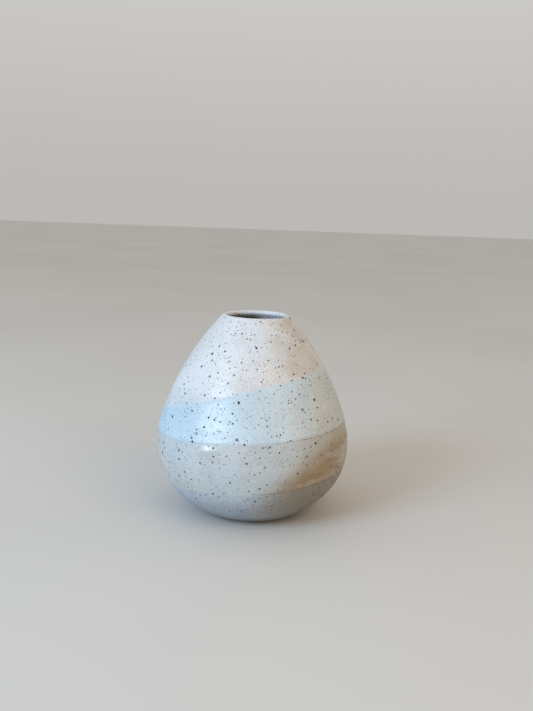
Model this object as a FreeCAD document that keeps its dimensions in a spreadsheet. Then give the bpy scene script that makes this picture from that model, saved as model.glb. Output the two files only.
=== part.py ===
# Ceramic bud vase: a small thrown, pear-shaped stoneware vase with dipped glazes.
#
# Frame: millimetres, +Z up along the axis that the vase was thrown about, -Y to the front, and the
# origin at the centre of the foot, on the surface that the vase stands on.
#
# The clay's outline is a chain of tangent arcs. The outer face of a glaze coat is the same chain on
# the same arc centres, moved off the clay, so clay and glaze meet face to face all over.

import FreeCAD, Part
import math
import os
import re

import Sketcher

# Lengths in millimetres and angles in degrees.
DRIVING_SIZES = {
    # The glazed outside of the vase.
    "belly_radius": 43.5,
    "belly_level": 31.3,
    "rim_level": 90.0,
    "lower_arc_radius": 32.3,
    "upper_arc_radius": 41.6,
    "upper_arc_angle": 17.4,
    "shoulder_arc_radius": 122.3,
    "lip_radius": 1.2,
    # The clay under it.
    "clay_wall": 3.6,
    "clay_floor_level": 4.8,
    "floor_corner_radius": 14.0,
    "foot_radius": 18.4,
    "foot_edge_level": 0.4,
    "recess_radius": 13.6,
    "recess_depth": 1.2,
    "recess_side_slope": 0.5,
    # The glaze coats, and how far along the lower arc and down the throat the outer one goes.
    "coat": 0.4,
    "overlap_extra": 0.2,
    "coated_lower_angle": 71.0,
    "coated_throat_angle": 3.0,
    # The level of the liquid glaze at each dip: its height on the axis, its tilt, and the heading
    # in which its line climbs, from +X towards +Y.
    "rim_dip_level": 41.5,
    "rim_dip_tilt": 4.5,
    "rim_dip_heading": 0.0,
    "foot_dip_level": 58.5,
    "foot_dip_tilt": 17.0,
    "foot_dip_heading": -24.0,
    "last_dip_level": 19.0,
    "last_dip_tilt": 6.0,
    "last_dip_heading": -14.0,
    # A cylinder that takes in everything above a dip line.
    "above_radius": 80.0,
    "above_length": 120.0,
}

# The ends of a piece of sketch geometry, and the numbers of the sketch's own origin and axes.
START, END, CENTRE = 1, 2, 3
ORIGIN, ACROSS, UPRIGHT = -1, -1, -2

# The arcs of the wall's outline, up the outside, over the lip and down the inside, each with the
# radius that the clay has there. The throat's radius follows from its neighbours.
OUTSIDE_RADII = {
    "lower": "lower_arc_radius - coat",
    "upper": "upper_arc_radius - coat",
    "shoulder": "shoulder_arc_radius - coat",
    "lip": "lip_radius - coat",
}
INSIDE_RADII = {
    "inner_upper": "upper_arc_radius - coat - clay_wall",
    "inner_lower": "lower_arc_radius - coat - clay_wall",
    "corner": "floor_corner_radius",
}
ARCS = [*OUTSIDE_RADII, "throat", *INSIDE_RADII]
JOINTS = [
    ("lower", END, "upper", START),
    ("upper", END, "shoulder", START),
    ("shoulder", END, "lip", START),
    ("lip", END, "throat", END),
    ("throat", START, "inner_upper", END),
    ("inner_upper", START, "inner_lower", END),
    ("inner_lower", START, "corner", END),
]

CLAY_OUTLINE = "stoneware_body_outline"


def add_sheet(doc):
    """The spreadsheet of driving sizes, one to a row."""
    sheet = doc.addObject("Spreadsheet::Sheet", "Sizes")
    for row, (alias, value) in enumerate(DRIVING_SIZES.items(), start=1):
        sheet.set(f"A{row}", alias)
        sheet.set(f"B{row}", str(value))
        sheet.setAlias(f"B{row}", alias)
    doc.recompute()


def of_sheet(formula, unit="mm"):
    """A formula of the sheet's aliases, as an expression with a unit."""
    return "(" + re.sub(r"[a-z]+(_[a-z]+)*", r"Sizes.\g<0>", formula) + f") * 1 {unit}"


def of_clay(name):
    """A named dimension of the clay's outline, as an expression."""
    return f"{CLAY_OUTLINE}.Constraints.{name}"


def add_body_sketch(doc, label):
    """A body, and an empty sketch on the body's own XZ plane."""
    body = doc.addObject("PartDesign::Body", label)
    sketch = body.newObject("Sketcher::SketchObject", label + "_outline")
    plane = [item for item in body.Origin.OriginFeatures if item.Role == "XZ_Plane"][0]
    sketch.AttachmentSupport = [(plane, "")]
    sketch.MapMode = "FlatFace"
    return body, sketch


def revolve(body, sketch):
    """Turn the outline once round the vase's axis."""
    turn = body.newObject("PartDesign::Revolution", body.Name + "_turn")
    turn.Profile = sketch
    turn.ReferenceAxis = (sketch, ["V_Axis"])
    turn.Angle = 360.0
    return body


def polar(centre, radius, angle):
    return (centre[0] + radius * math.cos(angle), centre[1] + radius * math.sin(angle))


def add_arc(sketch, centre, radius, first_angle, last_angle):
    """One anticlockwise arc, with angles in radians from the sketch's horizontal."""
    middle = FreeCAD.Vector(centre[0], centre[1], 0)
    circle = Part.Circle(middle, FreeCAD.Vector(0, 0, 1), radius)
    return sketch.addGeometry(Part.ArcOfCircle(circle, first_angle, last_angle), False)


def add_line(sketch, first, last):
    ends = [FreeCAD.Vector(point[0], point[1], 0) for point in (first, last)]
    return sketch.addGeometry(Part.LineSegment(*ends), False)


def end_of(sketch, item, end):
    point = sketch.getPoint(item, end)
    return (point.x, point.y)


def tie(sketch, kind, *where):
    """A constraint without a value."""
    sketch.addConstraint(Sketcher.Constraint(kind, *where))


def size(sketch, name, kind, *where, given):
    """A named dimension of the sketch, given by an expression."""
    value = sketch.evalExpression(given).Value
    if kind == "Angle":
        value = math.radians(value)
    index = sketch.addConstraint(Sketcher.Constraint(kind, *where, value))
    sketch.renameConstraint(index, name)
    sketch.setExpression("Constraints." + name, given)


def measure(sketch, name, kind, *where):
    """A named dimension that follows from the others, for the coats' outlines to use."""
    index = sketch.addConstraint(Sketcher.Constraint(kind, *where, 1.0))
    sketch.setDriving(index, False)
    sketch.renameConstraint(index, name)


def fix_centre(sketch, name, arc, belly_arc):
    """Hold the centre of an arc that meets the belly's widest level there."""
    across = of_sheet(f"belly_radius - {belly_arc}_arc_radius")
    size(sketch, name + "_across", "DistanceX", ORIGIN, START, arc, CENTRE, given=across)
    size(sketch, name + "_level", "DistanceY", ORIGIN, START, arc, CENTRE, given=of_sheet("belly_level"))


def guess_clay_arcs():
    """Centre, radius and end angles of each clay arc, for the sketch to be solved from."""
    value = DRIVING_SIZES
    coat = value["coat"]
    inside = coat + value["clay_wall"]
    upper_end = math.radians(value["upper_arc_angle"])
    lower_centre = (value["belly_radius"] - value["lower_arc_radius"], value["belly_level"])
    upper_centre = (value["belly_radius"] - value["upper_arc_radius"], value["belly_level"])
    centre_step = value["upper_arc_radius"] - value["shoulder_arc_radius"]
    shoulder_centre = polar(upper_centre, centre_step, upper_end)
    # The lip's circle touches the shoulder from inside, with its top at the rim.
    lip_reach = value["shoulder_arc_radius"] - value["lip_radius"]
    lip_rise = value["rim_level"] - value["lip_radius"] - shoulder_centre[1]
    shoulder_end = math.asin(lip_rise / lip_reach)
    lip_centre = polar(shoulder_centre, lip_reach, shoulder_end)
    # The throat's circle leaves the inner upper arc smoothly and touches the lip's circle.
    lip_radius = value["lip_radius"] - coat
    joint = polar(upper_centre, value["upper_arc_radius"] - inside, upper_end)
    gap = (lip_centre[0] - joint[0], lip_centre[1] - joint[1])
    outward = gap[0] * math.cos(upper_end) + gap[1] * math.sin(upper_end)
    throat_radius = (math.hypot(*gap) ** 2 - lip_radius ** 2) / (2 * (lip_radius - outward))
    throat_centre = polar(joint, -throat_radius, upper_end)
    throat_end = math.atan2(lip_centre[1] - throat_centre[1], lip_centre[0] - throat_centre[0])
    # The corner's circle touches the inner lower arc from inside, and the floor.
    corner_radius = value["floor_corner_radius"]
    corner_reach = value["lower_arc_radius"] - inside - corner_radius
    corner_drop = value["belly_level"] - value["clay_floor_level"] - corner_radius
    corner_end = -math.asin(corner_drop / corner_reach)
    corner_centre = polar(lower_centre, corner_reach, corner_end)
    lower_start = -math.radians(value["coated_lower_angle"])
    return {
        "lower": (lower_centre, value["lower_arc_radius"] - coat, lower_start, 0),
        "upper": (upper_centre, value["upper_arc_radius"] - coat, 0, upper_end),
        "shoulder": (shoulder_centre, value["shoulder_arc_radius"] - coat, upper_end, shoulder_end),
        "lip": (lip_centre, lip_radius, shoulder_end, throat_end + math.pi),
        "throat": (throat_centre, throat_radius, upper_end, throat_end),
        "inner_upper": (upper_centre, value["upper_arc_radius"] - inside, 0, upper_end),
        "inner_lower": (lower_centre, value["lower_arc_radius"] - inside, corner_end, 0),
        "corner": (corner_centre, corner_radius, -math.pi / 2, corner_end),
    }


def add_clay_wall(sketch):
    """The clay's arcs, from the foot's edge up over the lip and down to the floor."""
    guess = guess_clay_arcs()
    arcs = {name: add_arc(sketch, *guess[name]) for name in ARCS}
    for first, first_end, second, second_end in JOINTS:
        tie(sketch, "Tangent", arcs[first], first_end, arcs[second], second_end)
    for name, formula in {**OUTSIDE_RADII, **INSIDE_RADII}.items():
        size(sketch, name + "_radius", "Radius", arcs[name], given=of_sheet(formula))
    fix_centre(sketch, "lower_centre", arcs["lower"], "lower")
    tie(sketch, "Horizontal", arcs["lower"], END, arcs["lower"], CENTRE)
    tie(sketch, "Coincident", arcs["inner_upper"], CENTRE, arcs["upper"], CENTRE)
    tie(sketch, "Horizontal", arcs["inner_upper"], START, arcs["inner_upper"], CENTRE)
    for name in ("upper", "inner_upper"):
        size(sketch, name + "_span", "Angle", arcs[name], given=of_sheet("upper_arc_angle", "deg"))
    lip_level = of_sheet("rim_level - lip_radius")
    size(sketch, "lip_level", "DistanceY", ORIGIN, START, arcs["lip"], CENTRE, given=lip_level)
    measure(sketch, "throat_radius", "Radius", arcs["throat"])
    for name in ("shoulder", "lip", "throat", "inner_lower", "corner"):
        measure(sketch, name + "_span", "Angle", arcs[name])
    return arcs


def add_clay_foot(sketch, arcs):
    """The straight lines: the floor, the axis, and the foot with its turned recess."""
    value = DRIVING_SIZES
    recess_top = value["recess_radius"] - value["recess_side_slope"]
    corners = [
        end_of(sketch, arcs["corner"], START),
        (0, value["clay_floor_level"]),
        (0, value["recess_depth"]),
        (recess_top, value["recess_depth"]),
        (value["recess_radius"], 0),
        (value["foot_radius"], 0),
        end_of(sketch, arcs["lower"], START),
    ]
    lines = [add_line(sketch, first, last) for first, last in zip(corners, corners[1:])]
    floor, axis, ceiling, side, ring, edge = lines
    for first, second in zip(lines, lines[1:]):
        tie(sketch, "Coincident", first, END, second, START)
    tie(sketch, "Tangent", arcs["corner"], START, floor, START)
    tie(sketch, "Coincident", edge, END, arcs["lower"], START)
    tie(sketch, "Horizontal", floor)
    tie(sketch, "Horizontal", ceiling)
    for end in (START, END):
        tie(sketch, "PointOnObject", axis, end, UPRIGHT)
        tie(sketch, "PointOnObject", ring, end, ACROSS)
    places = [
        ("floor_level", "DistanceY", ORIGIN, START, axis, START, "clay_floor_level"),
        ("recess_depth", "DistanceY", ORIGIN, START, axis, END, "recess_depth"),
        ("recess_radius", "DistanceX", ORIGIN, START, ring, START, "recess_radius"),
        ("recess_slope", "DistanceX", side, START, side, END, "recess_side_slope"),
        ("foot_radius", "DistanceX", ORIGIN, START, ring, END, "foot_radius"),
        ("edge_level", "DistanceY", ORIGIN, START, edge, END, "foot_edge_level"),
    ]
    for name, kind, *where, formula in places:
        size(sketch, name, kind, *where, given=of_sheet(formula))


def add_stoneware_body(doc):
    """The thrown clay, foot, floor, wall and lip in one piece."""
    body, sketch = add_body_sketch(doc, "stoneware_body")
    arcs = add_clay_wall(sketch)
    add_clay_foot(sketch, arcs)
    doc.recompute()
    return revolve(body, sketch)


def add_coat_face(sketch, tag, spans, offset):
    """One face of a coat: some of the clay's arcs, moved off the clay by an offset.

    spans gives each arc's angle, as an expression, and which end of the clay's arc it starts from.
    """
    clay = sketch.Document.getObject(CLAY_OUTLINE)
    arcs = {}
    for name, (span, kept_end) in spans.items():
        sign = "+" if name in OUTSIDE_RADII else "-"
        radius = f"{of_clay(name + '_radius')} {sign} {of_sheet(offset)}"
        angle = math.radians(sketch.evalExpression(span).Value)
        model = clay.Geometry[ARCS.index(name)]
        first, last = model.FirstParameter, model.LastParameter
        if kept_end == START:
            last = first + angle
        else:
            first = last - angle
        length = sketch.evalExpression(radius).Value
        arcs[name] = add_arc(sketch, (model.Center.x, model.Center.y), length, first, last)
        size(sketch, f"{tag}_{name}_radius", "Radius", arcs[name], given=radius)
        size(sketch, f"{tag}_{name}_span", "Angle", arcs[name], given=span)
    for first, first_end, second, second_end in JOINTS:
        if first in arcs and second in arcs:
            tie(sketch, "Tangent", arcs[first], first_end, arcs[second], second_end)
    return arcs


def close_between(sketch, first, first_end, second, second_end):
    """A straight line that closes the gap between the ends of two faces."""
    cap = add_line(sketch, end_of(sketch, first, first_end), end_of(sketch, second, second_end))
    tie(sketch, "Coincident", cap, START, first, first_end)
    tie(sketch, "Coincident", cap, END, second, second_end)


def add_dipped_coat(doc):
    """One coat from the bare foot up over the lip and into the throat."""
    body, sketch = add_body_sketch(doc, "dipped_coat")
    spans = {
        "lower": (of_sheet("coated_lower_angle", "deg"), END),
        "upper": (of_clay("upper_span"), START),
        "shoulder": (of_clay("shoulder_span"), START),
        "lip": (of_clay("lip_span"), START),
        "throat": (of_sheet("coated_throat_angle", "deg"), END),
    }
    faces = []
    for tag, offset in (("clay", "0"), ("glaze", "coat")):
        arcs = add_coat_face(sketch, tag, spans, offset)
        fix_centre(sketch, tag + "_centre", arcs["lower"], "lower")
        tie(sketch, "Horizontal", arcs["lower"], END, arcs["lower"], CENTRE)
        faces.append(arcs)
    clay, glaze = faces
    close_between(sketch, clay["lower"], START, glaze["lower"], START)
    close_between(sketch, clay["throat"], START, glaze["throat"], START)
    return revolve(body, sketch)


def add_double_coat(doc):
    """Two coats in one, from the belly's widest level up to the lip."""
    body, sketch = add_body_sketch(doc, "double_coat")
    spans = {
        "upper": (of_clay("upper_span"), START),
        "shoulder": (of_clay("shoulder_span"), START),
    }
    faces = []
    for tag, offset in (("clay", "0"), ("glaze", "coat + overlap_extra")):
        arcs = add_coat_face(sketch, tag, spans, offset)
        fix_centre(sketch, tag + "_centre", arcs["upper"], "upper")
        tie(sketch, "Horizontal", arcs["upper"], START, arcs["upper"], CENTRE)
        faces.append(arcs)
    clay, glaze = faces
    close_between(sketch, clay["upper"], START, glaze["upper"], START)
    close_between(sketch, clay["shoulder"], END, glaze["shoulder"], END)
    return revolve(body, sketch)


def add_inner_glaze(doc):
    """The liner coat, from the end of the outer coat in the throat down to the floor's centre."""
    body, sketch = add_body_sketch(doc, "inner_glaze")
    rest_of_throat = f"{of_clay('throat_span')} - {of_sheet('coated_throat_angle', 'deg')}"
    spans = {
        "throat": (rest_of_throat, START),
        "inner_upper": (of_clay("inner_upper_span"), START),
        "inner_lower": (of_clay("inner_lower_span"), END),
        "corner": (of_clay("corner_span"), START),
    }
    faces = []
    for tag, offset in (("clay", "0"), ("glaze", "coat")):
        arcs = add_coat_face(sketch, tag, spans, offset)
        fix_centre(sketch, tag + "_centre", arcs["inner_upper"], "upper")
        tie(sketch, "Horizontal", arcs["inner_upper"], START, arcs["inner_upper"], CENTRE)
        corner = end_of(sketch, arcs["corner"], START)
        arcs["floor"] = add_line(sketch, corner, (0, corner[1]))
        tie(sketch, "Tangent", arcs["corner"], START, arcs["floor"], START)
        tie(sketch, "PointOnObject", arcs["floor"], END, UPRIGHT)
        faces.append(arcs)
    clay, glaze = faces
    close_between(sketch, clay["throat"], END, glaze["throat"], END)
    close_between(sketch, clay["floor"], END, glaze["floor"], END)
    return revolve(body, sketch)


def add_above(doc, dip):
    """Everything above one dip line, as a cylinder that stands on the glaze's tilted level."""
    above = doc.addObject("Part::Cylinder", "above_" + dip)
    above.setExpression("Radius", of_sheet("above_radius"))
    above.setExpression("Height", of_sheet("above_length"))
    above.setExpression("Placement.Base.z", of_sheet(dip + "_level"))
    above.setExpression("Placement.Rotation.Angle", of_sheet(dip + "_tilt", "deg"))
    above.setExpression("Placement.Rotation.Axis.x", f"sin({of_sheet(dip + '_heading', 'deg')})")
    above.setExpression("Placement.Rotation.Axis.y", f"-cos({of_sheet(dip + '_heading', 'deg')})")
    above.setExpression("Placement.Rotation.Axis.z", "0")
    return above


def combine(doc, kind, name, base, tool):
    """The part of base that is in tool (Common) or out of it (Cut)."""
    result = doc.addObject("Part::" + kind, name)
    result.Base = base
    result.Tool = tool
    return result


def add_dipped_glazes(doc):
    """The outer glazes, split where the dip lines cross them."""
    coat = add_dipped_coat(doc)
    double = add_double_coat(doc)
    above_rim_dip = add_above(doc, "rim_dip")
    above_foot_dip = add_above(doc, "foot_dip")
    above_last_dip = add_above(doc, "last_dip")
    doc.recompute()
    rim = combine(doc, "Common", "rim_glaze", coat, above_foot_dip)
    double_above = combine(doc, "Common", "double_above_rim_dip", double, above_rim_dip)
    overlap = combine(doc, "Cut", "overlap_glaze", double_above, above_foot_dip)
    coat_above = combine(doc, "Common", "coat_above_last_dip", coat, above_last_dip)
    belly = combine(doc, "Cut", "belly_glaze", coat_above, above_rim_dip)
    foot = combine(doc, "Cut", "foot_glaze", coat, above_last_dip)
    return [rim, overlap, belly, foot]


def write_steps(doc, pieces):
    """Check every object and every piece, then write each piece to parts/NODE.step."""
    for item in doc.Objects:
        if "Invalid" in item.State or "Error" in item.State:
            raise RuntimeError(f"{item.Name} did not compute: {item.State}")
    for piece in pieces:
        if piece.Shape.isNull() or not piece.Shape.isValid() or len(piece.Shape.Solids) != 1:
            raise RuntimeError(f"{piece.Label} is not one valid solid")
    os.makedirs("parts", exist_ok=True)
    for piece in pieces:
        piece.Shape.exportStep(f"parts/{piece.Label}.step")
        print(f"{piece.Label}: {piece.Shape.Volume:.1f} mm3")


def main():
    doc = FreeCAD.newDocument("bud_vase")
    add_sheet(doc)
    pieces = [add_stoneware_body(doc), add_inner_glaze(doc), *add_dipped_glazes(doc)]
    doc.recompute()
    write_steps(doc, pieces)


main()
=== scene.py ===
# A small pear-shaped stoneware bud vase with dipped, speckled satin glazes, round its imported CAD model.
# Lengths are in metres and angles in radians unless a name says otherwise. -Y is the front.

import bmesh
import bpy
import math
import numpy as np
from mathutils import Matrix, Vector


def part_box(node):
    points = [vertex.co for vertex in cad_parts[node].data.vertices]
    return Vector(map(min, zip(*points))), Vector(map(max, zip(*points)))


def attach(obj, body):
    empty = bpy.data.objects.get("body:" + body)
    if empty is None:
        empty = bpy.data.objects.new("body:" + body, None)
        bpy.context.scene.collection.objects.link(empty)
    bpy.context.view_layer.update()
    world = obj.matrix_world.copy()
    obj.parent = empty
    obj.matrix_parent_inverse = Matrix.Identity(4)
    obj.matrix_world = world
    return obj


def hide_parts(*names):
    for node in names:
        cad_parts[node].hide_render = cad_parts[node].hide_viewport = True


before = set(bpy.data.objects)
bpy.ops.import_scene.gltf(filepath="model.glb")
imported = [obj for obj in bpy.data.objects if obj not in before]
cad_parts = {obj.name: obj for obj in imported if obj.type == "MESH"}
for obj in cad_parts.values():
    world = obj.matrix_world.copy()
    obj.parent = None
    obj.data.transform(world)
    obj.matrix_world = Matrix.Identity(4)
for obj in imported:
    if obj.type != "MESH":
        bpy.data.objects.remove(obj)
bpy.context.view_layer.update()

MM = 0.001

# ------------------------------------------------------------------ sizes, as in the CAD model
BELLY_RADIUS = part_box("belly_glaze")[1].x
RIM_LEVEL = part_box("rim_glaze")[1].z
FLOOR_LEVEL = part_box("inner_glaze")[0].z
BELLY_LEVEL = 31.3 * MM
LOWER_ARC = 32.3 * MM
UPPER_ARC = 41.6 * MM
UPPER_ARC_END = math.radians(17.4)
SHOULDER_ARC = 122.3 * MM
LIP_RADIUS = 1.2 * MM
CLAY_WALL = 3.6 * MM
CORNER_ARC = 14.0 * MM
COAT = 0.4 * MM
OVERLAP_EXTRA = 0.2 * MM
COATED_LOWER_ANGLE = math.radians(71.0)
COATED_THROAT_ANGLE = math.radians(3.0)
FOOT_RADIUS = 18.4 * MM
FOOT_EDGE_LEVEL = 0.4 * MM
RECESS_RADIUS = 13.6 * MM
RECESS_SIDE_SLOPE = 0.5 * MM
RECESS_DEPTH = 1.2 * MM

# The glaze's level at each dip: height on the axis, tilt, and the heading in which its line climbs.
RIM_DIP = (41.5 * MM, math.radians(4.5), 0.0)
FOOT_DIP = (58.5 * MM, math.radians(17.0), math.radians(-24.0))
LAST_DIP = (19.0 * MM, math.radians(6.0), math.radians(-14.0))

# The overlap rises over these lengths from its two lines, and has a soft roll along the lower one.
LOWER_EDGE_RISE = 0.7 * MM
UPPER_EDGE_RISE = 1.8 * MM
ROLL_PLACE = 0.9 * MM
ROLL_WIDTH = 0.6 * MM
ROLL_HEIGHT = 0.05 * MM

# The bare edge is thinned by this share of the coat, over this length.
BARE_EDGE_THINNING = 0.85
BARE_EDGE_ROUND = 0.8 * MM

# A small raised run of glaze, left of the front and under the overlap's lower line.
BEAD_HEADING = math.radians(-115.5)
BEAD_DROP = 2.9 * MM
BEAD_HALF_WIDTH = 3.9 * MM
BEAD_HALF_HEIGHT = 1.35 * MM
BEAD_RISE = 0.42 * MM

# The heading of the warm-lit side, where the painted warm light, warm shade and brown reflection are
# strongest.
WARM_LIT_HEADING = math.radians(-15.0)

# How finely the meshes are made: columns round the axis, and the steps between rows of a coat, over
# its lip, of the liner, of a coat's hidden back, and of the outline that they are read from.
COLUMNS = 384
ROW_STEP = 0.55 * MM
LIP_STEP = 0.2 * MM
LINER_STEP = 1.0 * MM
BACK_STEP = 1.4 * MM
PATH_STEP = 0.05 * MM
HEADINGS = np.arange(COLUMNS) * 2 * math.pi / COLUMNS
# How often the stretch that holds a dip line is halved, how close two points are to be one, and from
# what angle an edge isn't smoothed.
HALVINGS = 30
MERGE_GAP = 1e-7
SHARP_ANGLE = math.radians(50)

# The camera, and how far it looks down and leans to one side.
LENS_MM = 39.5
SENSOR_MM = 36.0
NEAREST_SEEN = 10 * MM
CAMERA_PLACE = (5.07 * MM, -347.5 * MM, 135.0 * MM)
CAMERA_DOWN_DEGREES = 10.37
CAMERA_LEAN_DEGREES = 2.06

# Each soft light: place, size, watts and tint.
WINDOW = ((-0.67, -0.65, 0.50), 0.42, 7.3, (0.50, 0.74, 1.0))
WARM_SIDE = ((0.50, -0.60, 0.60), 0.50, 1.6, (1.0, 0.60, 0.22))
GLINT = ((-0.77, -0.52, 0.38), 0.30, 2.8, (1.0, 0.92, 0.70))

# The pale surroundings: their tint, and their strength from just under the horizon to higher up.
SKY_TINT = (1.0, 0.98, 0.94, 1.0)
SKY_FADE = {"From Min": -0.02, "From Max": 0.40, "To Min": 0.50, "To Max": 0.64}

# How far the floor goes on each side of the vase.
FLOOR_REACH = 6.0


# ------------------------------------------------------------------ camera
def add_camera():
    """The viewpoint: a hand-held camera a little above the vase, very slightly rolled."""
    data = bpy.data.cameras.new("camera")
    data.lens = LENS_MM
    data.sensor_width = SENSOR_MM
    data.clip_start = NEAREST_SEEN
    camera = bpy.data.objects.new("camera", data)
    bpy.context.scene.collection.objects.link(camera)
    place = Matrix.Translation(CAMERA_PLACE)
    pitch = Matrix.Rotation(math.radians(90.0 - CAMERA_DOWN_DEGREES), 4, "X")
    roll = Matrix.Rotation(math.radians(CAMERA_LEAN_DEGREES), 4, "Z")
    camera.matrix_world = place @ pitch @ roll
    bpy.context.scene.camera = camera


# ------------------------------------------------------------------ the wall's outline
def polar(centre, radius, angle):
    return (centre[0] + radius * math.cos(angle), centre[1] + radius * math.sin(angle))


def arc(centre, radius, first, last, side):
    """Rows of distance from the axis, level and outward normal; side -1 where the arc is hollow."""
    turn = np.linspace(first, last, max(2, int(abs(radius * (last - first)) / PATH_STEP)))
    across, up = np.cos(turn), np.sin(turn)
    return np.stack([centre[0] + radius * across, centre[1] + radius * up, side * across, side * up], 1)


def level_line(first, last, level, normal):
    """The same for a level line from one distance to another, whose normal is up or down."""
    across = np.linspace(first, last, max(2, int(abs(last - first) / PATH_STEP)))
    same = np.ones_like(across)
    return np.stack([across, level * same, 0 * same, normal * same], 1)


class Path:
    """Joined stretches of the wall's outline, read by the length along them."""

    def __init__(self, **stretches):
        self.rows = np.concatenate(list(stretches.values()))
        steps = np.hypot(*np.diff(self.rows[:, :2], axis=0).T)
        self.along = np.concatenate([[0.0], np.cumsum(steps)])
        last_rows = np.cumsum([len(rows) for rows in stretches.values()]) - 1
        self.end = dict(zip(stretches, self.along[last_rows]))

    def at(self, along):
        return [np.interp(along, self.along, column) for column in self.rows.T]


def make_paths():
    """The glazed face outside, from the foot's edge over the lip, and inside, down to the floor."""
    inside = 2 * COAT + CLAY_WALL
    lower = (BELLY_RADIUS - LOWER_ARC, BELLY_LEVEL)
    upper = (BELLY_RADIUS - UPPER_ARC, BELLY_LEVEL)
    foot_angle = -math.asin((BELLY_LEVEL - FOOT_EDGE_LEVEL) / (LOWER_ARC - COAT))
    shoulder = polar(upper, UPPER_ARC - SHOULDER_ARC, UPPER_ARC_END)
    lip_reach = SHOULDER_ARC - LIP_RADIUS
    shoulder_end = math.asin((RIM_LEVEL - LIP_RADIUS - shoulder[1]) / lip_reach)
    lip = polar(shoulder, lip_reach, shoulder_end)
    joint = polar(upper, UPPER_ARC - inside, UPPER_ARC_END)
    gap = (lip[0] - joint[0], lip[1] - joint[1])
    outward = gap[0] * math.cos(UPPER_ARC_END) + gap[1] * math.sin(UPPER_ARC_END)
    throat_arc = (math.hypot(*gap) ** 2 - LIP_RADIUS ** 2) / (2 * (LIP_RADIUS - outward))
    throat = polar(joint, -throat_arc, UPPER_ARC_END)
    throat_end = math.atan2(lip[1] - throat[1], lip[0] - throat[0])
    corner_arc = CORNER_ARC - COAT
    corner_reach = LOWER_ARC - inside - corner_arc
    corner_end = -math.asin((BELLY_LEVEL - FLOOR_LEVEL - CORNER_ARC) / corner_reach)
    corner = polar(lower, corner_reach, corner_end)
    outside_path = Path(
        lower=arc(lower, LOWER_ARC, foot_angle, 0.0, 1),
        upper=arc(upper, UPPER_ARC, 0.0, UPPER_ARC_END, 1),
        shoulder=arc(shoulder, SHOULDER_ARC, UPPER_ARC_END, shoulder_end, 1),
        lip=arc(lip, LIP_RADIUS, shoulder_end, throat_end + math.pi, 1),
        throat=arc(throat, throat_arc, throat_end, throat_end - COATED_THROAT_ANGLE, -1),
    )
    inside_path = Path(
        throat=arc(throat, throat_arc, throat_end - COATED_THROAT_ANGLE, UPPER_ARC_END, -1),
        inner_upper=arc(upper, UPPER_ARC - inside, UPPER_ARC_END, 0.0, -1),
        inner_lower=arc(lower, LOWER_ARC - inside, 0.0, corner_end, -1),
        corner=arc(corner, corner_arc, corner_end, -math.pi / 2, -1),
        floor=level_line(corner[0], 0.0, FLOOR_LEVEL + COAT, 1),
    )
    return outside_path, inside_path


OUTSIDE, INSIDE = make_paths()
BARE_EDGE = OUTSIDE.end["lower"] - LOWER_ARC * COATED_LOWER_ANGLE


# ------------------------------------------------------------------ hand-made unevenness
def waves(heading, level, terms):
    """A sum of gentle waves round and up the vase."""
    total = 0.0 * heading + 0.0 * level
    for size, turns, rate, phase in terms:
        total = total + size * np.sin(turns * heading + 2 * math.pi * rate * level + phase)
    return total


# In each list a wave is (size, turns round, waves per metre up, phase).

# Out-of-round wobble of the whole wall.
WOBBLE = [
    (0.07 * MM, 2, 5.0, 0.6),
    (0.05 * MM, 3, -8.0, 2.1),
    (0.03 * MM, 5, 14.0, 4.0),
]
# How far the wall is tucked in just above the foot, where, and over what height it begins.
TUCK = 0.65 * MM
TUCK_LEVEL = 7.5 * MM
TUCK_HEIGHT = 6.5 * MM
TUCK_START = 4 * MM
# Throwing rings, which climb like a very flat spiral.
RINGS = [
    (0.030 * MM, 1, 118.0, 0.3),
    (0.020 * MM, -1, 187.0, 1.9),
    (0.012 * MM, 1, 305.0, 5.0),
]
# Over which lengths the rings and the wobble fade out towards the foot and the axis, and the rings
# towards the rim.
CALM_FOOT_START = 1 * MM
CALM_FOOT = 14 * MM
CALM_RIM = 12 * MM
CALM_AXIS = 10 * MM
# How each line of the glazes wanders along the wall.
RIM_WANDER = [
    (0.16 * MM, 3, 0, 0.4),
    (0.10 * MM, 7, 0, 2.0),
    (0.05 * MM, 17, 0, 1.0),
    (0.03 * MM, 31, 0, 4.0),
]
FOOT_WANDER = [
    (0.35 * MM, 2, 0, 1.2),
    (0.22 * MM, 5, 0, 3.0),
    (0.10 * MM, 13, 0, 0.7),
    (0.05 * MM, 29, 0, 2.2),
]
LAST_WANDER = [
    (0.25 * MM, 2, 0, 5.2),
    (0.15 * MM, 6, 0, 0.9),
    (0.06 * MM, 15, 0, 3.1),
]
BARE_WANDER = [
    (0.20 * MM, 2, 0, 2.2),
    (0.12 * MM, 5, 0, 1.4),
    (0.08 * MM, 11, 0, 0.2),
    (0.04 * MM, 23, 0, 5.0),
]


def smooth_step(x):
    x = np.clip(x, 0.0, 1.0)
    return x * x * (3 - 2 * x)


def dip_line(dip, wander):
    """Length along the outside at which a dip's tilted level crosses the wall, for each heading."""
    level, tilt, climb = dip
    slope = math.tan(tilt) * np.cos(HEADINGS - climb)
    low = np.zeros(COLUMNS)
    high = np.full(COLUMNS, OUTSIDE.end["shoulder"])
    for _ in range(HALVINGS):
        middle = (low + high) / 2
        radius, height, _, _ = OUTSIDE.at(middle)
        under = height - radius * slope < level
        low = np.where(under, middle, low)
        high = np.where(under, high, middle)
    return middle + waves(HEADINGS, 0.0, wander)


RIM_LINE = dip_line(RIM_DIP, RIM_WANDER)
FOOT_LINE = dip_line(FOOT_DIP, FOOT_WANDER)
LAST_LINE = dip_line(LAST_DIP, LAST_WANDER)
BARE_LINE = BARE_EDGE + waves(HEADINGS, 0.0, BARE_WANDER)


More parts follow.
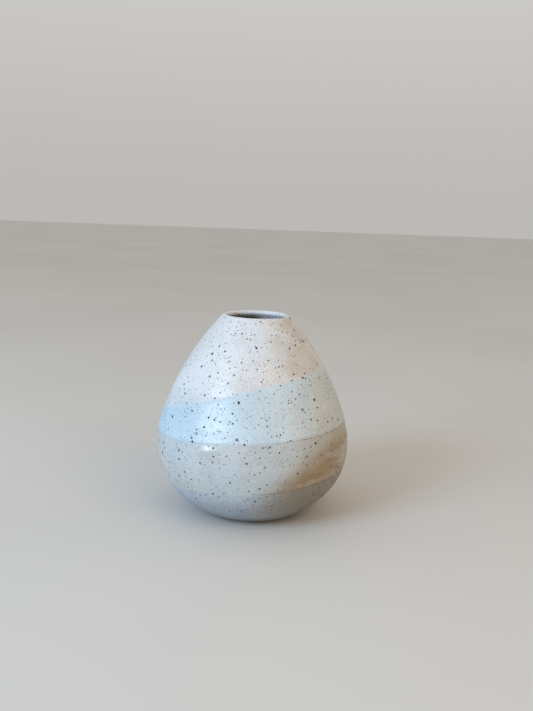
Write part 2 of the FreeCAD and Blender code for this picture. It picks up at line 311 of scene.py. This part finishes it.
def wall_points(path, along, raised):
    """Points of the wall, raised off its glazed face by so much."""
    radius, level, normal_r, normal_z = path.at(along)
    heading = np.broadcast_to(HEADINGS, radius.shape)
    off_foot = smooth_step((level - CALM_FOOT_START) / CALM_FOOT)
    off_rim = smooth_step((RIM_LEVEL - level) / CALM_RIM)
    off_axis = np.clip(radius / CALM_AXIS, 0.0, 1.0)
    rings = waves(heading, level, RINGS) * off_foot * off_rim * off_axis
    tuck = TUCK * np.exp(-(((level - TUCK_LEVEL) / TUCK_HEIGHT) ** 2)) * smooth_step(level / TUCK_START)
    sideways = (waves(heading, level, WOBBLE) * off_foot - tuck) * off_axis
    # The rings follow the outside, so inside they run the other way along the normal.
    side = 1.0 if path is OUTSIDE else -1.0
    lift = raised + rings * side
    radius = radius + normal_r * lift + sideways
    level = level + normal_z * lift
    return np.stack([radius * np.cos(heading), radius * np.sin(heading), level], axis=-1)


# ------------------------------------------------------------------ meshes
def ring_faces(start, rows, outward):
    """Quads between neighbouring rows of points, each row going once round the axis."""
    faces = []
    for row in range(rows - 1):
        for column in range(COLUMNS):
            here = start + row * COLUMNS + column
            beside = start + row * COLUMNS + (column + 1) % COLUMNS
            quad = [here, beside, beside + COLUMNS, here + COLUMNS]
            faces.append(quad if outward else quad[::-1])
    return faces


def make_piece(name, points, faces, measures):
    """A smooth mesh object with its coinciding points merged, so that a row on the axis is one point."""
    mesh = bpy.data.meshes.new(name)
    mesh.from_pydata(points.reshape(-1, 3).tolist(), [], faces)
    for key, values in measures.items():
        mesh.attributes.new(key, "FLOAT", "POINT").data.foreach_set("value", values)
    build = bmesh.new()
    build.from_mesh(mesh)
    bmesh.ops.remove_doubles(build, verts=build.verts, dist=MERGE_GAP)
    bmesh.ops.recalc_face_normals(build, faces=build.faces)
    build.to_mesh(mesh)
    build.free()
    mesh.polygons.foreach_set("use_smooth", [True] * len(mesh.polygons))
    mesh.set_sharp_from_angle(angle=SHARP_ANGLE)
    piece = bpy.data.objects.new(name, mesh)
    bpy.context.scene.collection.objects.link(piece)
    return piece


def row_shares(longest, step, fine_from):
    """Where the rows of a coat lie, from 0 at its low line to 1 at its high line."""
    count = int(math.ceil(longest / step)) + 1
    shares = np.linspace(0.0, 1.0, count)
    if fine_from is None:
        return shares
    # Closer rows over the lip, which is much more curved than the rest.
    lip_rows = int(math.ceil((1.0 - fine_from) * longest / LIP_STEP)) + 1
    return np.concatenate([shares[shares < fine_from], np.linspace(fine_from, 1.0, lip_rows)])


def add_coat(name, node, path, low, high, swell, step=ROW_STEP, fine_from=None):
    """One glaze coat, as a slender closed solid between two lines along a path."""
    low, high = np.broadcast_to(low, COLUMNS), np.broadcast_to(high, COLUMNS)
    shares = row_shares(float((high - low).max()), step, fine_from)[:, None]
    along = low + (high - low) * shares
    from_low, from_high = along - low, high - along
    front = wall_points(path, along, swell(from_low, from_high))
    back_rows = int(math.ceil(float((high - low).max()) / BACK_STEP)) + 2
    back_along = low + (high - low) * np.linspace(0.0, 1.0, back_rows)[:, None]
    back = wall_points(path, back_along, np.full_like(back_along, -COAT))
    rows = len(front)
    start = rows * COLUMNS
    faces = ring_faces(0, rows, True) + ring_faces(start, back_rows, False)
    # The narrow walls that join the two faces along the low and the high line, unless it is the axis.
    last, back_last = (rows - 1) * COLUMNS, start + (back_rows - 1) * COLUMNS
    ends_on_axis = path.at(high.max())[0] < PATH_STEP
    for column in range(COLUMNS):
        beside = (column + 1) % COLUMNS
        faces.append([start + column, start + beside, beside, column])
        if not ends_on_axis:
            faces.append([last + column, last + beside, back_last + beside, back_last + column])
    unseen = np.zeros(back_rows * COLUMNS)
    measures = {
        "from_low": np.concatenate([from_low.ravel(), unseen]),
        "from_high": np.concatenate([from_high.ravel(), unseen]),
    }
    points = np.concatenate([front.reshape(-1, 3), back.reshape(-1, 3)])
    piece = make_piece(name, points, faces, measures)
    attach(piece, "root")
    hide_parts(node)
    return piece


def even(from_low, from_high):
    """No swelling anywhere."""
    return 0.0 * from_low


def overlap_swell(from_low, from_high):
    """Thicker than its neighbours, with a soft roll along the lower line."""
    rise = smooth_step(from_low / LOWER_EDGE_RISE) * smooth_step(from_high / UPPER_EDGE_RISE)
    roll = np.exp(-(((from_low - ROLL_PLACE) / ROLL_WIDTH) ** 2))
    return OVERLAP_EXTRA * rise + ROLL_HEIGHT * roll


def bead_swell(from_low, from_high):
    """A small raised run of glaze just under the overlap's edge."""
    turned = (HEADINGS - BEAD_HEADING + math.pi) % (2 * math.pi) - math.pi
    across = turned * BELLY_RADIUS / BEAD_HALF_WIDTH
    up = (from_high - BEAD_DROP) / BEAD_HALF_HEIGHT
    return BEAD_RISE * np.exp(-(across**2) - up**2)


def bare_edge_swell(from_low, from_high):
    """The glaze ends above the bare foot in a thinned, rounded edge."""
    return -BARE_EDGE_THINNING * COAT * (1.0 - smooth_step(from_low / BARE_EDGE_ROUND) ** 0.5)


def round_edge(centre, radius, first, last, count):
    return [polar(centre, radius, angle) for angle in np.linspace(first, last, count)]


def foot_rows():
    """The bare foot from the recess's centre to the foot's outer edge, with the turning tool's marks."""
    groove = 0.045 * MM
    pitch = 1.15 * MM
    no_marks_within = 1.5 * MM
    button_height = 0.25 * MM
    button_radius = 1.4 * MM
    bend = 0.3 * MM
    inner_round = 0.35 * MM
    outer_round = 0.4 * MM
    outer_inset = 0.1 * MM
    edge_margin = 0.5 * MM
    ripple = 0.02 * MM
    ripple_pitch = 0.9 * MM
    recess_top = RECESS_RADIUS - RECESS_SIDE_SLOPE
    ceiling = np.linspace(0.0, recess_top - bend, 62)
    marks = groove * np.sin(2 * math.pi * ceiling / pitch) * smooth_step(ceiling / no_marks_within)
    button = button_height * np.exp(-((ceiling / button_radius) ** 2))
    outline = list(zip(ceiling, RECESS_DEPTH - marks - button))
    outline += round_edge((recess_top - bend, RECESS_DEPTH - bend), bend, 1.57, 0.4, 6)
    inner_edge = (RECESS_RADIUS + inner_round, inner_round)
    outline += round_edge(inner_edge, inner_round, math.pi - 0.3, 1.5 * math.pi, 7)
    ring = np.linspace(RECESS_RADIUS + edge_margin, FOOT_RADIUS - edge_margin, 16)
    outline += [(r, ripple * (1 + math.sin(2 * math.pi * r / ripple_pitch))) for r in ring]
    outer_edge = (FOOT_RADIUS - outer_inset, outer_round)
    outline += round_edge(outer_edge, outer_round, -1.5, -0.9, 5)
    radius, level = np.array(outline).T[:, :, None]
    heading = np.broadcast_to(HEADINGS, (len(outline), COLUMNS))
    return np.stack([radius * np.cos(heading), radius * np.sin(heading), level + 0 * heading], axis=-1)


def add_clay():
    """The stoneware under the glaze, bare and turned at the foot."""
    # A coat hides most of the clay, so few rows are enough.
    shoulder_end = OUTSIDE.end["shoulder"]
    near_foot = np.linspace(0.0, BARE_EDGE + 1 * MM, 10)
    wall = np.linspace(BARE_EDGE + 1.5 * MM, shoulder_end, 60)
    lip = np.linspace(shoulder_end + LIP_STEP, OUTSIDE.end["lip"], 12)
    outside = np.concatenate([near_foot, wall, lip, [OUTSIDE.along[-1]]])[:, None]
    inside = np.linspace(0.0, INSIDE.along[-1], 64)[1:, None]
    rows = [
        foot_rows(),
        wall_points(OUTSIDE, outside + 0 * HEADINGS, -COAT),
        wall_points(INSIDE, inside + 0 * HEADINGS, -COAT),
    ]
    points = np.concatenate(rows)
    piece = make_piece("thrown_clay", points, ring_faces(0, len(points), True), {})
    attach(piece, "root")
    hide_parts("stoneware_body")
    return piece


# ------------------------------------------------------------------ materials
class Look:
    """A material and a short way to write its nodes."""

    def __init__(self, name):
        self.material = bpy.data.materials.new(name)
        self.material.use_nodes = True
        self.tree = self.material.node_tree
        self.shader = self.tree.nodes["Principled BSDF"]
        self.where = self.add("TexCoord").outputs["Object"]

    def add(self, kind, inputs=(), **settings):
        """A node with its settings, and its inputs by order: numbers, colours or nodes' outputs."""
        node = self.tree.nodes.new("ShaderNode" + kind)
        for key, value in settings.items():
            setattr(node, key, value)
        for socket, value in zip(node.inputs, inputs):
            self.feed(socket, value)
        return node

    def feed(self, socket, value):
        if isinstance(value, bpy.types.NodeSocket):
            self.tree.links.new(value, socket)
        else:
            socket.default_value = value

    def math(self, operation, *values):
        return self.add("Math", values, operation=operation).outputs[0]

    def ramp(self, value, low, high, at_low=0.0, at_high=1.0):
        """Goes smoothly from at_low to at_high as value goes from low to high."""
        node = self.add("MapRange", (value, low, high, at_low, at_high), interpolation_type="SMOOTHSTEP")
        return node.outputs["Result"]

    def mix(self, factor, first, second, blend="MIX"):
        node = self.add("Mix", data_type="RGBA", blend_type=blend)
        sockets = [socket for socket in node.inputs if socket.enabled]
        for socket, value in zip(sockets, (factor, first, second)):
            self.feed(socket, value)
        return [socket for socket in node.outputs if socket.enabled][0]

    def tint(self, base, over, *amounts):
        """A colour with another laid over it, as much as the product of the amounts."""
        amount = amounts[0]
        for more in amounts[1:]:
            amount = self.math("MULTIPLY", amount, more)
        return self.mix(amount, base, over)

    def noise(self, scale, detail=2.0, roughness=0.5, where=None):
        node = self.add("TexNoise")
        self.feed(node.inputs["Vector"], where or self.where)
        self.feed(node.inputs["Scale"], scale)
        self.feed(node.inputs["Detail"], detail)
        self.feed(node.inputs["Roughness"], roughness)
        return node.outputs["Fac"]

    def measure(self, name):
        """A mesh's own attribute, such as the distance from a coat's low line."""
        return self.add("Attribute", attribute_name=name).outputs["Fac"]

    def bump(self, height, strength, distance):
        node = self.add("Bump")
        self.feed(node.inputs["Strength"], strength)
        self.feed(node.inputs["Distance"], distance)
        self.feed(node.inputs["Height"], height)
        self.feed(self.shader.inputs["Normal"], node.outputs["Normal"])


def colour(red, green, blue):
    return (red, green, blue, 1.0)


# Specks, and the shade that mottles every glaze.
IRON = colour(0.012, 0.010, 0.009)
RUST = colour(0.20, 0.115, 0.065)
MOTTLE = colour(0.84, 0.835, 0.83)

# Rim and overlap.
CREAM = colour(0.72, 0.735, 0.755)
PEACH = colour(0.71, 0.655, 0.615)
# Painted warm light, on the warm-lit side.
PAINTED_WARM_LIGHT = colour(0.60, 0.525, 0.43)
# Partly a blue wash of glaze, partly painted shade.
WASHED_AND_SHADED_CREAM = colour(0.565, 0.64, 0.70)
# Painted shade for the throat.
PAINTED_THROAT_SHADE = colour(0.055, 0.048, 0.042)
PALE_LINE = colour(0.65, 0.705, 0.75)
PALE_BLUE = colour(0.61, 0.695, 0.745)
# Partly the glaze's own blue, partly painted cool light.
BLUE = colour(0.515, 0.67, 0.785)
# Painted warm shade.
PAINTED_WARM_SHADE_BLUE = colour(0.595, 0.60, 0.555)
GREY_LINE = colour(0.545, 0.605, 0.635)

# Belly and foot.
GREY = colour(0.525, 0.585, 0.62)
WARM_GREY = colour(0.555, 0.58, 0.585)
# Painted warm light, on the warm-lit side.
PAINTED_WARM_BOUNCE = colour(0.46, 0.395, 0.25)
# Painted reflection of a brown surface.
BROWN = colour(0.32, 0.21, 0.10)
BROWN_LINE = colour(0.27, 0.20, 0.14)
SLATE = colour(0.37, 0.435, 0.505)
PLAIN_SLATE = colour(0.41, 0.44, 0.46)
JOIN_GREY = colour(0.51, 0.57, 0.615)
# Painted cool light.
PAINTED_COOL_LILAC = colour(0.42, 0.50, 0.645)
# Painted reflection of a brown surface and painted shade.
PAINTED_BROWN_SHADE = colour(0.235, 0.19, 0.125)
# Painted shade near the floor.
PAINTED_FLOOR_SHADE = colour(0.19, 0.175, 0.16)
DARK_LINE = colour(0.14, 0.085, 0.05)
EDGE_BROWN = colour(0.30, 0.22, 0.15)

# Liner, clay and floor.
LINER_SHADE = colour(0.60, 0.585, 0.555)
LINER_WHITE = colour(0.70, 0.69, 0.66)
BUFF = colour(0.46, 0.355, 0.25)
PALE_BUFF = colour(0.55, 0.45, 0.34)
SAND = colour(0.33, 0.24, 0.16)
FLOOR_SHADE = colour(0.60, 0.58, 0.55)
FLOOR_PALE = colour(0.64, 0.62, 0.59)

# Specks in layers: spacing, smallest and largest radius, share of places with one, softness, strength.
SPECK_LAYERS = [
    (5.45 * MM, 0.46 * MM, 0.66 * MM, 0.60, 0.03 * MM, 1.00),
    (2.50 * MM, 0.25 * MM, 0.47 * MM, 0.74, 0.03 * MM, 1.00),
    (1.50 * MM, 0.14 * MM, 0.30 * MM, 0.58, 0.04 * MM, 1.00),
    (0.85 * MM, 0.08 * MM, 0.16 * MM, 0.50, 0.05 * MM, 0.60),
]
SPECK_RAGGED = 0.5 * MM
SPECK_HALO = 0.3 * MM
SPECK_SMALLNESS = 1.6

# The streaks in the belly's painted reflection of a brown surface: how fast they change across, and up
# the wall.
REFLECTION_STREAKS = (40.0, 40.0, 260.0)


def uneven_place(look, amount, scale):
    """The object's coordinates, shaken a little so that round spots come out ragged."""
    shake = look.add("TexNoise")
    look.feed(shake.inputs["Vector"], look.where)
    look.feed(shake.inputs["Scale"], scale)
    centred = look.add("VectorMath", (shake.outputs["Color"], (0.5, 0.5, 0.5)), operation="SUBTRACT")
    scaled = look.add("VectorMath", operation="SCALE")
    look.feed(scaled.inputs[0], centred.outputs[0])
    look.feed(scaled.inputs["Scale"], amount)
    return look.add("VectorMath", (look.where, scaled.outputs[0]), operation="ADD").outputs[0]


def spots(look, where, spacing, smallest, largest, share, soft):
    """Scattered spots: how much a point is in one, its random value, its edge, and if it is there."""
    cells = look.add("TexVoronoi")
    look.feed(cells.inputs["Vector"], where)
    look.feed(cells.inputs["Scale"], 1.0 / spacing)
    chance = look.add("SeparateColor", (cells.outputs["Color"],))
    reach = look.math("MULTIPLY", cells.outputs["Distance"], spacing)
    bigness = look.math("POWER", chance.outputs[0], SPECK_SMALLNESS)
    radius = look.math("MULTIPLY_ADD", bigness, largest - smallest, smallest)
    edge = look.math("SUBTRACT", reach, radius)
    inside = look.ramp(edge, -soft, soft, 1.0, 0.0)
    present = look.math("LESS_THAN", chance.outputs[1], share)
    return look.math("MULTIPLY", inside, present), chance.outputs[2], edge, present


def add_specks(look, base):
    """Iron specks that have come up through the glaze, over a base colour; gives colour and mask."""
    where = uneven_place(look, SPECK_RAGGED, 1400.0)
    crowding = look.ramp(look.noise(95.0, 2.0, 0.6), 0.32, 0.62, 0.50, 1.30)
    result, mask = base, None
    for spacing, smallest, largest, share, soft, strength in SPECK_LAYERS:
        here = look.math("MULTIPLY", crowding, share)
        inside, tone, edge, present = spots(look, where, spacing, smallest, largest, here, soft)
        halo = look.ramp(edge, 0.0, SPECK_HALO, 0.20 * strength, 0.0)
        result = look.tint(result, RUST, halo, present)
        ink = look.mix(look.ramp(tone, 0.65, 0.95, 0.0, 0.45), IRON, RUST)
        sunk = look.ramp(tone, 0.0, 0.35, 0.6 * strength, strength)
        inked = look.math("MULTIPLY", inside, sunk)
        result = look.mix(inked, result, ink)
        mask = inked if mask is None else look.math("MAXIMUM", mask, inked)
    return result, mask


def finish_glaze(look, base, roughness):
    """Specks, satin gloss and the fine pitting that every glazed face has."""
    cloud = look.noise(70.0, 3.0, 0.55)
    grain = look.noise(1500.0, 3.0, 0.6)
    shade = look.math("ADD", look.ramp(cloud, 0.3, 0.7, 0.0, 0.4), look.ramp(grain, 0.3, 0.7, 0.0, 0.6))
    mottled = look.mix(look.ramp(shade, 0.1, 0.9), base, MOTTLE, blend="MULTIPLY")
    specked, mask = add_specks(look, mottled)
    look.feed(look.shader.inputs["Base Color"], specked)
    sheen = look.ramp(look.noise(900.0, 2.0, 0.5), 0.3, 0.7, roughness - 0.04, roughness + 0.06)
    look.feed(look.shader.inputs["Roughness"], look.math("MULTIPLY_ADD", mask, 0.2, sheen))
    look.feed(look.shader.inputs["IOR"], 1.5)
    peel = look.math("MULTIPLY", look.noise(620.0, 3.0, 0.55), 0.7)
    pits = look.math("MULTIPLY", mask, -0.35)
    height = look.math("ADD", look.math("ADD", peel, look.math("MULTIPLY", grain, 0.3)), pits)
    look.bump(height, 0.75, 0.28 * MM)
    return look.material


def reach_towards(look, heading):
    """How far, in metres, a point lies in one direction from the axis."""
    direction = (math.cos(heading), math.sin(heading), 0.0)
    return look.add("VectorMath", (look.where, direction), operation="DOT_PRODUCT").outputs["Value"]


def rim_look():
    """Cool cream, peach near the dip line below it, and tan up to the neck towards the warm-lit side,
    which is painted warm light. Towards the window it is bluer and darker above the line, partly a
    blue wash and partly painted shade, and on that side the throat is darkened with painted shade."""
    look = Look("cream_glaze")
    reach = reach_towards(look, WARM_LIT_HEADING)
    from_low, from_high = look.measure("from_low"), look.measure("from_high")
    near = look.ramp(from_low, 1 * MM, 19 * MM, 0.90, 0.12)
    patch = look.ramp(look.noise(52.0, 3.0, 0.55), 0.36, 0.62, 0.25, 1.0)
    side = look.ramp(reach, -26 * MM, 14 * MM)
    base = look.tint(CREAM, PEACH, near, patch, side)
    # Painted warm light: tan in patches towards the warm-lit side.
    warm_lit_side = look.ramp(reach, 5 * MM, 23 * MM)
    warm_light_patches = look.ramp(look.noise(110.0, 4.0, 0.6), 0.36, 0.70)
    base = look.tint(base, PAINTED_WARM_LIGHT, warm_lit_side, 0.60, warm_light_patches)
    line = look.ramp(from_low, 0.0, 1.4 * MM, 0.5, 0.0)
    base = look.tint(base, PALE_LINE, line)
    # Bluer and darker just above the line towards the window: partly a blue wash, partly painted shade.
    wash_and_shade = look.ramp(from_low, 0.0, 13 * MM, 0.55, 0.0)
    window_side = look.ramp(reach, 8 * MM, -20 * MM)
    base = look.tint(base, WASHED_AND_SHADED_CREAM, wash_and_shade, window_side)
    # More painted warm light: tan up to the neck on the warm-lit side.
    neck = look.ramp(from_high, 9 * MM, 34 * MM, 0.75, 0.0)
    neck_side = look.ramp(reach, 4 * MM, 15 * MM)
    base = look.tint(base, PAINTED_WARM_LIGHT, neck, neck_side, warm_light_patches)
    # Painted shade: the throat is darkened on the window side, whose inner wall the window doesn't light.
    throat = look.ramp(from_high, 5 * MM, 9 * MM, 1.0, 0.0)
    shaded_throat_side = look.ramp(reach, -6 * MM, 2 * MM, 1.0, 0.0)
    base = look.tint(base, PAINTED_THROAT_SHADE, throat, shaded_throat_side)
    return finish_glaze(look, base, 0.40)


def overlap_look():
    """Pale blue, bluest towards the window, partly the glaze and partly painted cool light, greyer
    towards the warm-lit side as painted warm shade, with a line along each edge.
    """
    look = Look("pale_blue_glaze")
    reach = reach_towards(look, WARM_LIT_HEADING)
    # Bluer towards the window: partly the glaze, partly painted cool light.
    window_side = look.ramp(reach, 34 * MM, -26 * MM)
    patch = look.ramp(look.noise(45.0, 3.0, 0.5), 0.30, 0.70, -0.2, 0.2)
    base = look.tint(PALE_BLUE, BLUE, look.math("ADD", window_side, patch))
    # Greyer towards the warm-lit side: painted warm shade.
    warm_lit_side = look.ramp(reach, 20 * MM, 40 * MM, 0.0, 0.8)
    base = look.tint(base, PAINTED_WARM_SHADE_BLUE, warm_lit_side)
    low_line = look.ramp(look.measure("from_low"), 0.0, 1.6 * MM, 0.45, 0.0)
    base = look.tint(base, GREY_LINE, low_line)
    high_line = look.ramp(look.measure("from_high"), 0.0, 1.4 * MM, 0.5, 0.0)
    base = look.tint(base, PALE_LINE, high_line)
    return finish_glaze(look, base, 0.38)


def belly_look():
    """Blue-grey. Towards the warm-lit side it has painted warm light and a painted reflection of a brown
    surface, streaked above its lower line, and a broken brown line under the overlap."""
    look = Look("grey_glaze")
    reach = reach_towards(look, WARM_LIT_HEADING)
    from_low, from_high = look.measure("from_low"), look.measure("from_high")
    patch = look.ramp(look.noise(40.0, 3.0, 0.5), 0.38, 0.62)
    base = look.tint(GREY, WARM_GREY, patch)
    # Painted warm light, then a streaked painted reflection of a brown surface, towards the warm-lit
    # side.
    warm_lit_side = look.ramp(reach, 18 * MM, 39 * MM)
    base = look.tint(base, PAINTED_WARM_BOUNCE, warm_lit_side, 0.55)
    flat = look.add("VectorMath", (look.where, REFLECTION_STREAKS), operation="MULTIPLY").outputs[0]
    streaks = look.ramp(look.noise(1.0, 4.0, 0.6, flat), 0.30, 0.58, 0.15, 1.0)
    close = look.ramp(from_low, 0.5 * MM, 4.5 * MM, 0.75, 0.0)
    streaks = look.math("MAXIMUM", streaks, close)
    # The painted reflection reaches round less and less higher up, so it ends in a wedge.
    wedge = look.math("SUBTRACT", reach, look.math("MULTIPLY", from_low, 1.25))
    base = look.tint(base, BROWN, look.ramp(wedge, 10 * MM, 28 * MM), streaks, 0.92)
    line_side = look.ramp(reach, 15 * MM, 28 * MM)
    broken = look.ramp(look.noise(160.0, 3.0, 0.6), 0.42, 0.58)
    line = look.ramp(from_high, 0.05 * MM, 0.50 * MM, 0.8, 0.0)
    base = look.tint(base, BROWN_LINE, broken, line_side, line)
    return finish_glaze(look, base, 0.27)


def foot_look():
    """Slate grey, like the belly near their join, lilac towards the window as painted cool light and
    olive-brown towards the warm-lit side as painted reflection and shade, darker towards the bare
    edge with painted shade near the floor, with a broken dark line along its upper edge."""
    look = Look("cool_grey_glaze")
    reach = reach_towards(look, WARM_LIT_HEADING)
    from_low, from_high = look.measure("from_low"), look.measure("from_high")
    patch = look.ramp(look.noise(40.0, 3.0, 0.5), 0.38, 0.62)
    base = look.tint(SLATE, PLAIN_SLATE, patch)
    join = look.ramp(from_high, 0.0, 11 * MM, 0.95, 0.0)
    base = look.tint(base, JOIN_GREY, join)
    # Lilac towards the window: painted cool light.
    window_side = look.ramp(reach, -4 * MM, -28 * MM, 0.0, 0.85)
    base = look.tint(base, PAINTED_COOL_LILAC, window_side)
    # Olive-brown towards the warm-lit side: painted reflection of a brown surface and painted shade.
    warm_lit_side = look.ramp(reach, 6 * MM, 30 * MM)
    base = look.tint(base, PAINTED_BROWN_SHADE, warm_lit_side, 0.88)
    # Painted shade: darker towards the bare edge, close to the floor.
    near_floor_shade = look.ramp(from_low, 0.0, 15 * MM, 0.92, 0.0)
    base = look.tint(base, PAINTED_FLOOR_SHADE, near_floor_shade)
    line_side = look.ramp(reach, 12 * MM, 22 * MM)
    broken = look.ramp(look.noise(60.0, 2.0, 0.5), 0.40, 0.50)
    line = look.ramp(from_high, 0.10 * MM, 0.55 * MM, 0.9, 0.0)
    base = look.tint(base, DARK_LINE, broken, line_side, line)
    edge = look.ramp(from_low, 0.0, 1.2 * MM, 0.85, 0.0)
    base = look.tint(base, EDGE_BROWN, edge)
    return finish_glaze(look, base, 0.36)


def liner_look():
    """Off-white all over."""
    look = Look("liner_glaze")
    patch = look.ramp(look.noise(40.0, 2.0, 0.5), 0.4, 0.6)
    return finish_glaze(look, look.tint(LINER_SHADE, LINER_WHITE, patch), 0.40)


def clay_look():
    """Bare buff stoneware, dry and sandy."""
    look = Look("speckled_clay")
    patch = look.ramp(look.noise(90.0, 4.0, 0.6), 0.3, 0.7)
    base = look.tint(BUFF, PALE_BUFF, patch)
    sand = look.noise(2200.0, 3.0, 0.7)
    base = look.tint(base, SAND, look.ramp(sand, 0.35, 0.7, 0.0, 0.35))
    specked, _ = add_specks(look, base)
    look.feed(look.shader.inputs["Base Color"], specked)
    look.feed(look.shader.inputs["Roughness"], look.ramp(sand, 0.3, 0.7, 0.78, 0.92))
    lumps = look.math("MULTIPLY", look.noise(500.0, 2.0), 0.6)
    look.bump(look.math("ADD", sand, lumps), 0.7, 0.08 * MM)
    return look.material


# ------------------------------------------------------------------ the vase
def add_vase():
    outside_end, inside_end = OUTSIDE.along[-1], INSIDE.along[-1]
    # The rim's rows are finer from just under the lip.
    rim_low = FOOT_LINE.min()
    fine_from = (OUTSIDE.end["shoulder"] - 2 * MM - rim_low) / (outside_end - rim_low)
    coats = [
        add_coat(
            "foot_coat", "foot_glaze", OUTSIDE,
            BARE_LINE, LAST_LINE, bare_edge_swell
        ),
        add_coat(
            "belly_coat", "belly_glaze", OUTSIDE,
            LAST_LINE, RIM_LINE, bead_swell
        ),
        add_coat(
            "overlap_coat", "overlap_glaze", OUTSIDE,
            RIM_LINE, FOOT_LINE, overlap_swell
        ),
        add_coat(
            "rim_coat", "rim_glaze", OUTSIDE,
            FOOT_LINE, outside_end, even, fine_from=fine_from
        ),
        add_coat(
            "liner_coat", "inner_glaze", INSIDE,
            0.0, inside_end, even, step=LINER_STEP
        ),
        add_clay(),
    ]
    looks = [foot_look(), belly_look(), overlap_look(), rim_look(), liner_look(), clay_look()]
    for piece, material in zip(coats, looks):
        piece.data.materials.append(material)


# ------------------------------------------------------------------ stage and light
def add_floor():
    look = Look("pale_floor")
    tone = look.ramp(look.noise(3.0, 3.0, 0.5), 0.3, 0.7)
    look.feed(look.shader.inputs["Base Color"], look.tint(FLOOR_SHADE, FLOOR_PALE, tone))
    look.feed(look.shader.inputs["Roughness"], 0.7)
    mesh = bpy.data.meshes.new("floor")
    corners = [
        (-FLOOR_REACH, -FLOOR_REACH, 0),
        (FLOOR_REACH, -FLOOR_REACH, 0),
        (FLOOR_REACH, FLOOR_REACH, 0),
        (-FLOOR_REACH, FLOOR_REACH, 0),
    ]
    mesh.from_pydata(corners, [], [(0, 1, 2, 3)])
    mesh.materials.append(look.material)
    floor = bpy.data.objects.new("floor", mesh)
    bpy.context.scene.collection.objects.link(floor)


def add_soft_light(name, place, size, watts, tint):
    """A square soft box aimed at the middle of the vase, which the camera doesn't see itself."""
    data = bpy.data.lights.new(name, "AREA")
    data.size = size
    data.energy = watts
    data.color = tint
    light = bpy.data.objects.new(name, data)
    bpy.context.scene.collection.objects.link(light)
    aim = Vector((0, 0, RIM_LEVEL / 2)) - Vector(place)
    light.rotation_euler = aim.to_track_quat("-Z", "Y").to_euler()
    light.location = place
    light.visible_camera = False
    return light


def add_world():
    """Pale all round, a little brighter from higher up."""
    world = bpy.data.worlds.new("studio")
    world.use_nodes = True
    tree = world.node_tree
    direction = tree.nodes.new("ShaderNodeTexCoord").outputs["Generated"]
    parts = tree.nodes.new("ShaderNodeSeparateXYZ")
    fade = tree.nodes.new("ShaderNodeMapRange")
    fade.interpolation_type = "SMOOTHSTEP"
    tree.links.new(direction, parts.inputs[0])
    tree.links.new(parts.outputs["Z"], fade.inputs["Value"])
    for name, value in SKY_FADE.items():
        fade.inputs[name].default_value = value
    background = tree.nodes["Background"]
    background.inputs["Color"].default_value = SKY_TINT
    tree.links.new(fade.outputs["Result"], background.inputs["Strength"])
    bpy.context.scene.world = world
    bpy.context.scene.view_settings.view_transform = "Standard"


def add_lights():
    """A cool window on the left, a weak warm light on the right, and the window's glint."""
    add_soft_light("window", *WINDOW)
    add_soft_light("warm_side", *WARM_SIDE)
    # It shows only as gloss, in the highlight on the left.
    glint = add_soft_light("glint", *GLINT)
    glint.visible_diffuse = False


add_camera()
add_vase()
add_floor()
add_world()
add_lights()
